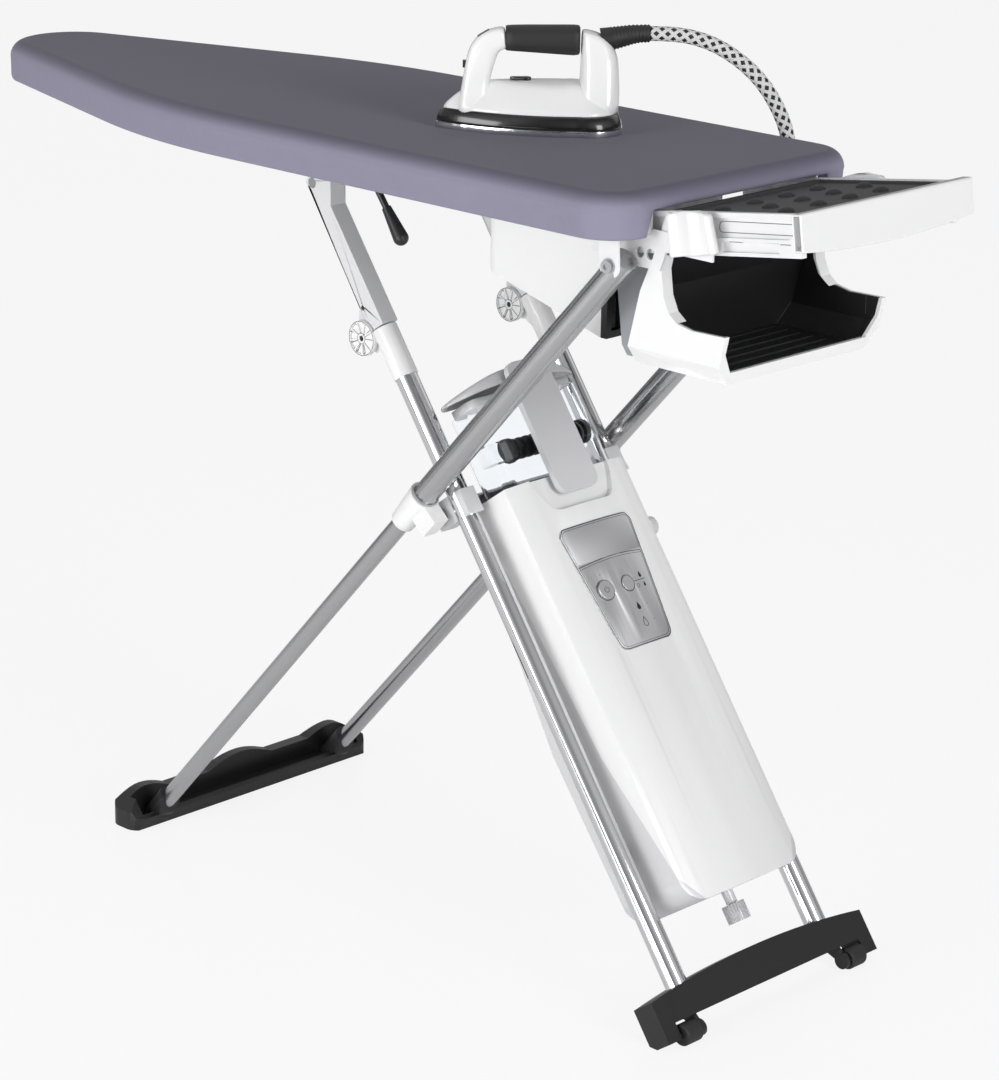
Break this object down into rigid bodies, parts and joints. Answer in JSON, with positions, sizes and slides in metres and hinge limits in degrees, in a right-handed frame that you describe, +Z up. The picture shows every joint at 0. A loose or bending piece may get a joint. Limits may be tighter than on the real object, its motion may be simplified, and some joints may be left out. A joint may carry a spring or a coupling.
{
  "type": "steam ironing system",
  "caption": "Folding ironing board on telescopic scissor legs, with a leg-hung steam boiler and water tank, a sliding iron tray over a storage bin, and a steam iron on a hose.",
  "frame": {"origin": "on the floor, midway between the nose of the board and the lower front edge of the tray, on the plane of symmetry", "axes": "+X from the nose to the heel and tray, +Z up, +Y to the side of the hose"},
  "size_m": [1.4559, 0.4455, 1.0895],
  "materials": {
    "board_cover": "woven cotton, violet grey",
    "board_pad": "felt",
    "board_deck": "satin",
    "heel_brackets": "satin white",
    "heel_beams": "satin white",
    "holder_blocks": "moulded white",
    "compartment_shell": "moulded white",
    "compartment_liner": "moulded black",
    "compartment_back": "moulded grey",
    "blower_housing": "moulded white",
    "air_grille": "moulded black",
    "fan_motor": "drawn steel can",
    "clamp_block": "moulded black",
    "hose_socket": "moulded black",
    "fan_rotor": "moulded black",
    "tray_frame": "satin white",
    "tray_front_bar": "moulded white",
    "tray_mat": "moulded silicone rubber",
    "steam_hose": "braided white sleeve with dark flecks",
    "iron_soleplate": "polished",
    "iron_base_ring": "moulded black",
    "iron_body": "moulded white",
    "iron_handle": "moulded white",
    "iron_grip": "moulded black",
    "strain_relief": "moulded black",
    "oval_button": "moulded black",
    "front_button": "moulded black",
    "dome_lever": "moulded black",
    "lever_shaft": "satin black",
    "lever_grip": "moulded black",
    "carriage_runners": "moulded nylon",
    "carriage_bar": "zinc plated",
    "arms": "moulded white",
    "rear_leg_tubes": "bright",
    "knee_joints": "moulded white",
    "pivot_collars": "moulded dark grey",
    "rear_foot": "moulded black",
    "boiler_front_shell": "moulded white",
    "boiler_rear_shell": "moulded grey",
    "control_panel": "satin light grey",
    "boiler_vessel": "deep drawn steel",
    "water_pump": "moulded black",
    "circuit_board": "green laminate",
    "mains_inlet": "moulded black",
    "castor_left": "moulded black",
    "castor_right": "moulded black",
    "power_button": "moulded grey",
    "steam_button": "moulded grey",
    "side_knob": "moulded grey",
    "drain_cap": "moulded grey",
    "water_tank": "clear plastic",
    "filter_cartridge": "moulded black",
    "tank_lid": "moulded light grey",
    "tank_grip": "moulded white",
    "front_leg_tubes": "bright",
    "leg_sleeves": "moulded white",
    "cross_bar": "plated steel",
    "front_foot": "moulded black",
    "upper_tubes": "bright",
    "heel_bolts": "zinc plated"
  },
  "bodies": {
    "board": {"board_cover": "board_cover", "board_pad": "board_pad", "board_deck": "board_deck", "heel_brackets": "heel_brackets", "heel_beams": "heel_beams", "holder_blocks": "holder_blocks", "compartment_shell": "compartment_shell", "compartment_liner": "compartment_liner", "compartment_back": "compartment_back", "blower_housing": "blower_housing", "air_grille": "air_grille", "fan_motor": "fan_motor", "clamp_block": "clamp_block", "hose_socket": "hose_socket"},
    "fan": {"fan_rotor": "fan_rotor"},
    "tray": {"tray_frame": "tray_frame", "tray_front_bar": "tray_front_bar", "tray_mat": "tray_mat"},
    "iron": {"steam_hose": "steam_hose", "iron_soleplate": "iron_soleplate", "iron_base_ring": "iron_base_ring", "iron_body": "iron_body", "iron_handle": "iron_handle", "iron_grip": "iron_grip", "strain_relief": "strain_relief"},
    "oval_key": {"oval_button": "oval_button"},
    "front_key": {"front_button": "front_button"},
    "steam_dial": {"dome_lever": "dome_lever"},
    "lever": {"lever_shaft": "lever_shaft", "lever_grip": "lever_grip"},
    "carriage": {"carriage_runners": "carriage_runners", "carriage_bar": "carriage_bar"},
    "arm_pair": {"arms": "arms"},
    "rear_frame": {"rear_leg_tubes": "rear_leg_tubes", "knee_joints": "knee_joints", "pivot_collars": "pivot_collars", "rear_foot": "rear_foot", "boiler_front_shell": "boiler_front_shell", "boiler_rear_shell": "boiler_rear_shell", "control_panel": "control_panel", "boiler_vessel": "boiler_vessel", "water_pump": "water_pump", "circuit_board": "circuit_board", "mains_inlet": "mains_inlet"},
    "left_castor": {"castor_left": "castor_left"},
    "right_castor": {"castor_right": "castor_right"},
    "power_key": {"power_button": "power_button"},
    "steam_key": {"steam_button": "steam_button"},
    "knob": {"side_knob": "side_knob"},
    "cap": {"drain_cap": "drain_cap"},
    "tank": {"water_tank": "water_tank", "filter_cartridge": "filter_cartridge"},
    "lid": {"tank_lid": "tank_lid", "tank_grip": "tank_grip"},
    "front_frame": {"front_leg_tubes": "front_leg_tubes", "leg_sleeves": "leg_sleeves", "cross_bar": "cross_bar", "front_foot": "front_foot"},
    "upper_legs": {"upper_tubes": "upper_tubes", "heel_bolts": "heel_bolts"}
  },
  "joints": [
    {"name": "frame_fold", "type": "hinge", "parent": "rear_frame", "child": "front_frame", "pos_m": [0.195, 0, 0.529], "axis": [0, -1, 0], "range_deg": [0, 77.89]},
    {"name": "carriage_slide", "type": "slide", "parent": "board", "child": "carriage", "axis": [-1, 0, 0], "range_m": [0, 0.0537]},
    {"name": "arm_swing", "type": "hinge", "parent": "carriage", "child": "arm_pair", "pos_m": [-0.02898, 0, 0.8895], "axis": [0, -1, 0], "range_deg": [0, 54.75]},
    {"name": "knee_swing", "type": "hinge", "parent": "arm_pair", "child": "rear_frame", "pos_m": [0.05906, 0, 0.717], "axis": [0, 1, 0], "range_deg": [0, 180.5]},
    {"name": "leg_telescope", "type": "slide", "parent": "front_frame", "child": "upper_legs", "axis": [0.6742, 0, 0.7386], "range_m": [0, 0.1505]},
    {"name": "tray_slide", "type": "slide", "parent": "board", "child": "tray", "axis": [0.9903, 0, 0.1392], "range_m": [-0.1, 0]},
    {"name": "iron_lift", "type": "slide", "parent": "board", "child": "iron", "axis": [0, 0, 1], "range_m": [0, 0.12], "deforming": ["steam_hose"]},
    {"name": "oval_press", "type": "slide", "parent": "iron", "child": "oval_key", "axis": [0.373, 0.3644, -0.8533], "range_m": [0, 0.0012], "stiffness_N_per_m": 600},
    {"name": "front_press", "type": "slide", "parent": "iron", "child": "front_key", "axis": [0.7153, 0.6988, 0], "range_m": [0, 0.0012], "stiffness_N_per_m": 600},
    {"name": "steam_dial_turn", "type": "hinge", "parent": "iron", "child": "steam_dial", "pos_m": [0.18297, 0.0061, 1.0233], "axis": [0, 0, 1], "range_deg": [-30, 30]},
    {"name": "lever_lift", "type": "hinge", "parent": "board", "child": "lever", "pos_m": [0.133, 0, 0.923], "axis": [0, -1, 0], "range_deg": [0, 35]},
    {"name": "fan_spin", "type": "hinge", "parent": "board", "child": "fan", "pos_m": [0.35, 0, 0.858], "axis": [1, 0, 0], "continuous": true},
    {"name": "left_castor_roll", "type": "hinge", "parent": "rear_frame", "child": "left_castor", "pos_m": [0.60912, 0, 0.0135], "axis": [0, 1, 0], "continuous": true},
    {"name": "right_castor_roll", "type": "hinge", "parent": "rear_frame", "child": "right_castor", "pos_m": [0.60912, 0, 0.0135], "axis": [0, 1, 0], "continuous": true},
    {"name": "power_press", "type": "slide", "parent": "rear_frame", "child": "power_key", "axis": [-0.8141, 0, -0.5807], "range_m": [0, 0.001], "stiffness_N_per_m": 800},
    {"name": "steam_press", "type": "slide", "parent": "rear_frame", "child": "steam_key", "axis": [-0.8141, 0, -0.5807], "range_m": [0, 0.001], "stiffness_N_per_m": 800},
    {"name": "knob_turn", "type": "hinge", "parent": "rear_frame", "child": "knob", "pos_m": [0.29622, 0.1, 0.48525], "axis": [0, 1, 0], "range_deg": [-135, 135]},
    {"name": "cap_turn", "type": "hinge", "parent": "rear_frame", "child": "cap", "pos_m": [0.54904, 0, 0.09809], "axis": [-0.5807, 0, 0.8141], "range_deg": [0, 360]},
    {"name": "tank_lift", "type": "slide", "parent": "rear_frame", "child": "tank", "axis": [-0.5807, 0, 0.8141], "range_m": [0, 0.15]},
    {"name": "lid_swing", "type": "hinge", "parent": "tank", "child": "lid", "pos_m": [0.14996, 0, 0.62658], "axis": [0, -1, 0], "range_deg": [0, 60]}
  ],
  "couplings": [
    {"joint": "knee_swing", "follows": "frame_fold", "ratio": 2.311},
    {"joint": "arm_swing", "follows": "frame_fold", "ratio": 0.69906},
    {"joint": "carriage_slide", "follows": "frame_fold", "m_per_rad": 0.039142},
    {"joint": "leg_telescope", "follows": "frame_fold", "m_per_rad": 0.11034}
  ]
}
